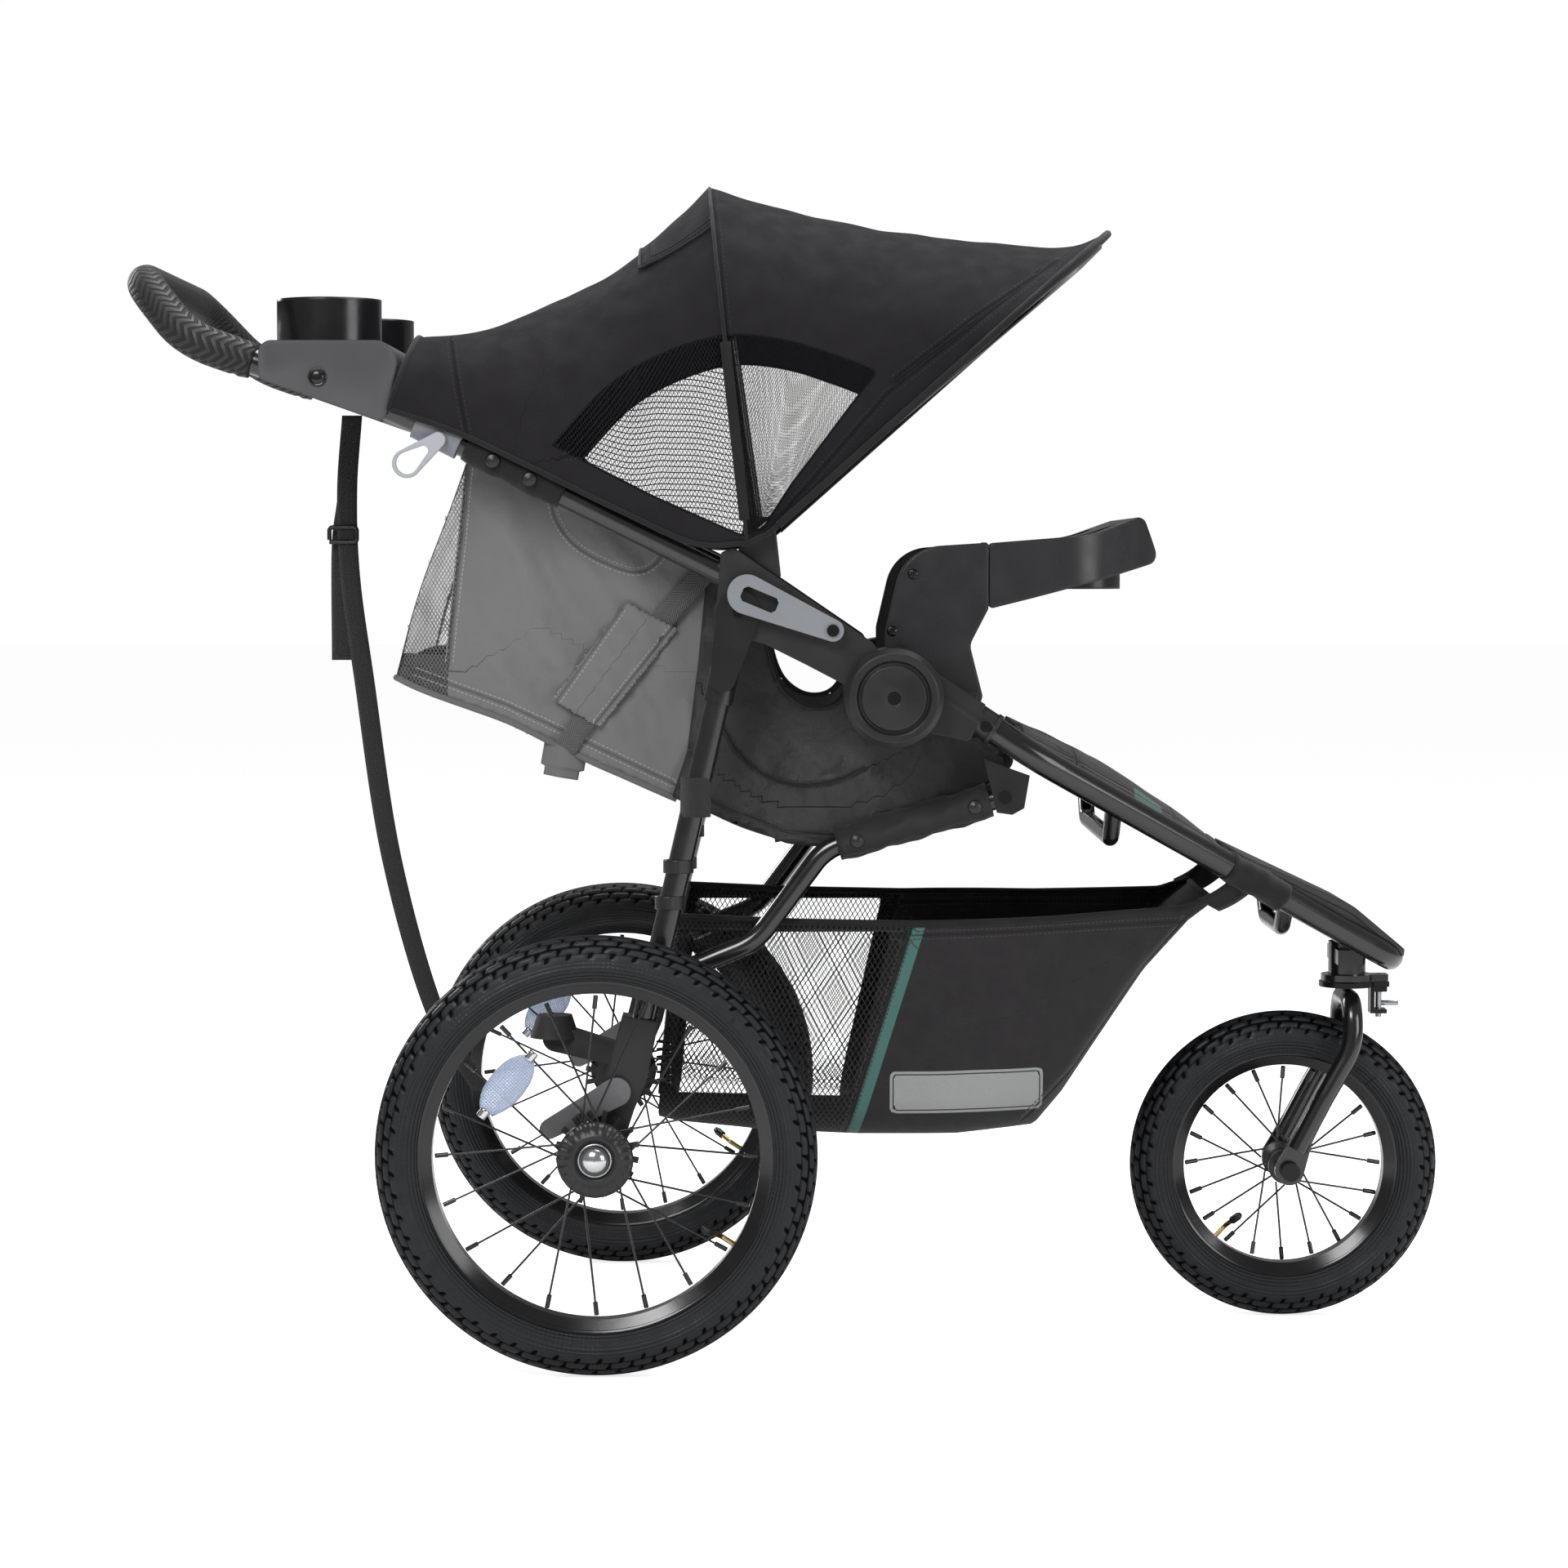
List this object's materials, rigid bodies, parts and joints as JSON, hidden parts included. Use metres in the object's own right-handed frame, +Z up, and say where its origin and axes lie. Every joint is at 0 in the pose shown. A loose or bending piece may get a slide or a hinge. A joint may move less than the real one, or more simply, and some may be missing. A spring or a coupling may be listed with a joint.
{
  "type": "jogging stroller",
  "caption": "Folding jogging stroller with spoked wheels, swivel front fork, reclining seat, arched canopy, swing-open child tray, parent console and basket.",
  "frame": {"origin": "on the ground, under the middle of the stroller's overall length and width", "axes": "+X forward, the way the stroller rolls; +Y to the stroller's left; +Z up"},
  "size_m": [1.2404, 0.616, 1.08],
  "materials": {
    "frame_steel": "gloss black powder coat",
    "handle_steel": "gloss black powder coat",
    "hinge_nylon": "moulded satin black nylon",
    "console_plastic": "charcoal moulded plastic with gloss cups",
    "tray_plastic": "charcoal moulded plastic",
    "lever_plastic": "light grey moulded plastic",
    "latch_plastic": "mid grey moulded plastic",
    "brake_plastic": "grey moulded plastic",
    "pedal_rubber": "ribbed black rubber",
    "grip_rubber": "textured black rubber",
    "tyre_rubber": "black rubber with block tread",
    "rim_plastic": "gloss black",
    "spoke_wire": "black steel wire",
    "hub_metal": "black hub shell",
    "pin_steel": "zinc plated steel",
    "reflector_lens": "clear prismatic lens",
    "bush_nylon": "nylon bush",
    "canopy_cloth": "charcoal woven polyester",
    "seat_cloth": "charcoal satin polyester",
    "basket_cloth": "charcoal polyester and mesh",
    "webbing": "black woven webbing",
    "buckle_plastic": "black moulded plastic"
  },
  "bodies": {
    "front_frame": {"front_frame": "frame_steel", "steering_head": "frame_steel", "steering_bushes": "bush_nylon", "hinge_sockets": "hinge_nylon", "hinge_covers": "hinge_nylon", "link_brackets": "frame_steel", "frame_fasteners": "pin_steel", "footrest": "hinge_nylon", "calf_panel": "basket_cloth", "tray_arms": "tray_plastic", "basket": "basket_cloth"},
    "tray": {"tray": "tray_plastic"},
    "handle": {"handle_tube": "handle_steel", "handle_grip": "grip_rubber", "parent_console": "console_plastic", "hinge_arms": "hinge_nylon", "canopy_clamps": "hinge_nylon", "arm_rivets": "pin_steel", "latch_clamp": "latch_plastic", "wrist_strap": "webbing", "canopy_rear_panel": "canopy_cloth", "seat_sides": "seat_cloth"},
    "console_lid": {"console_lid": "console_plastic"},
    "latch_hook": {"latch_hook": "pin_steel"},
    "right_fold_lever": {"right_fold_lever": "lever_plastic"},
    "left_fold_lever": {"left_fold_lever": "lever_plastic"},
    "rear_legs": {"leg_brackets": "frame_steel", "leg_tubes": "frame_steel", "leg_sockets": "hinge_nylon", "rear_axle": "frame_steel", "brake_springs": "pin_steel"},
    "brake": {"brake_shaft": "pin_steel", "brake_levers": "brake_plastic", "brake_pedal": "pedal_rubber"},
    "seat_frame": {"seat_frame": "frame_steel", "seat_base": "seat_cloth"},
    "rear_right_wheel": {"rear_right_tyre": "tyre_rubber", "rear_right_rim": "rim_plastic", "rear_right_spokes": "spoke_wire", "rear_right_hub": "hub_metal", "rear_right_reflector": "reflector_lens"},
    "rear_left_wheel": {"rear_left_tyre": "tyre_rubber", "rear_left_rim": "rim_plastic", "rear_left_spokes": "spoke_wire", "rear_left_hub": "hub_metal", "rear_left_reflector": "reflector_lens"},
    "front_wheel": {"front_tyre": "tyre_rubber", "front_rim": "rim_plastic", "front_spokes": "spoke_wire", "front_hub": "hub_metal"},
    "fork": {"fork": "frame_steel", "front_axle": "pin_steel", "steerer": "pin_steel"},
    "swivel_lock_pin": {"swivel_lock_pin": "pin_steel"},
    "canopy_mid": {"canopy_mid_bow": "handle_steel"},
    "canopy_front": {"canopy_front_bow": "handle_steel", "canopy_front_panel": "canopy_cloth"},
    "seat_back": {"seat_back_board": "seat_cloth", "harness": "webbing"},
    "buckle_button": {"buckle_button": "buckle_plastic"}
  },
  "joints": [
    {"name": "handle_fold", "type": "hinge", "parent": "front_frame", "child": "handle", "pos_m": [0.08425, 0, 0.611], "axis": [0, 1, 0], "range_deg": [0, 120]},
    {"name": "leg_fold", "type": "hinge", "parent": "handle", "child": "rear_legs", "pos_m": [-0.05585, 0, 0.6877], "axis": [0, 1, 0], "range_deg": [-43, 0], "deforming": ["wrist_strap"]},
    {"name": "seat_frame_fold", "type": "hinge", "parent": "front_frame", "child": "seat_frame", "pos_m": [0.18775, 0, 0.5178], "axis": [0, 1, 0], "range_deg": [0, 58]},
    {"name": "canopy_mid_fold", "type": "hinge", "parent": "handle", "child": "canopy_mid", "pos_m": [-0.03825, 0, 0.761], "axis": [0, 1, 0], "range_deg": [-46.5, 0], "deforming": ["canopy_rear_panel"]},
    {"name": "canopy_front_fold", "type": "hinge", "parent": "canopy_mid", "child": "canopy_front", "pos_m": [-0.03825, 0, 0.761], "axis": [0, -1, 0], "range_deg": [0, 57], "deforming": ["canopy_front_panel"]},
    {"name": "seat_recline", "type": "hinge", "parent": "handle", "child": "seat_back", "pos_m": [0.00825, 0, 0.47], "axis": [0, -1, 0], "range_deg": [-48, 0], "deforming": ["seat_sides"]},
    {"name": "tray_swing", "type": "hinge", "parent": "front_frame", "child": "tray", "pos_m": [0.18725, 0.167, 0.72], "axis": [0, 0, -1], "range_deg": [-90, 0]},
    {"name": "console_lid_hinge", "type": "hinge", "parent": "handle", "child": "console_lid", "pos_m": [-0.38275, 0, 0.931], "axis": [0, -1, 0], "range_deg": [-80, 0]},
    {"name": "latch_hook_swing", "type": "hinge", "parent": "handle", "child": "latch_hook", "pos_m": [-0.32575, -0.24, 0.84242], "axis": [0, -1, 0], "range_deg": [0, 60]},
    {"name": "right_fold_lever_pull", "type": "hinge", "parent": "handle", "child": "right_fold_lever", "pos_m": [0.02935, -0.251, 0.6716], "axis": [0, 1, 0], "range_deg": [0, 15]},
    {"name": "left_fold_lever_pull", "type": "hinge", "parent": "handle", "child": "left_fold_lever", "pos_m": [0.02935, 0.251, 0.6716], "axis": [0, 1, 0], "range_deg": [0, 15]},
    {"name": "brake_press", "type": "hinge", "parent": "rear_legs", "child": "brake", "pos_m": [-0.16675, 0, 0.253], "axis": [0, -1, 0], "range_deg": [0, 15]},
    {"name": "rear_right_spin", "type": "hinge", "parent": "rear_legs", "child": "rear_right_wheel", "pos_m": [-0.18375, -0.275, 0.1995], "axis": [0, 1, 0], "continuous": true},
    {"name": "rear_left_spin", "type": "hinge", "parent": "rear_legs", "child": "rear_left_wheel", "pos_m": [-0.18375, 0.275, 0.1995], "axis": [0, 1, 0], "continuous": true},
    {"name": "fork_swivel", "type": "hinge", "parent": "front_frame", "child": "fork", "pos_m": [0.53225, 0, 0.31], "axis": [0, 0, 1], "continuous": true},
    {"name": "front_spin", "type": "hinge", "parent": "fork", "child": "front_wheel", "pos_m": [0.47125, 0, 0.149], "axis": [0, 1, 0], "continuous": true},
    {"name": "swivel_lock", "type": "slide", "parent": "fork", "child": "swivel_lock_pin", "axis": [0, 0, -1], "range_m": [-0.008, 0]},
    {"name": "buckle_press", "type": "slide", "parent": "seat_back", "child": "buckle_button", "axis": [-0.391, 0, -0.9204], "range_m": [0, 0.003]}
  ],
  "couplings": [
    {"joint": "leg_fold", "follows": "handle_fold", "ratio": -0.3522},
    {"joint": "seat_frame_fold", "follows": "handle_fold", "ratio": 0.4799},
    {"joint": "canopy_mid_fold", "follows": "handle_fold", "ratio": -0.38333}
  ]
}
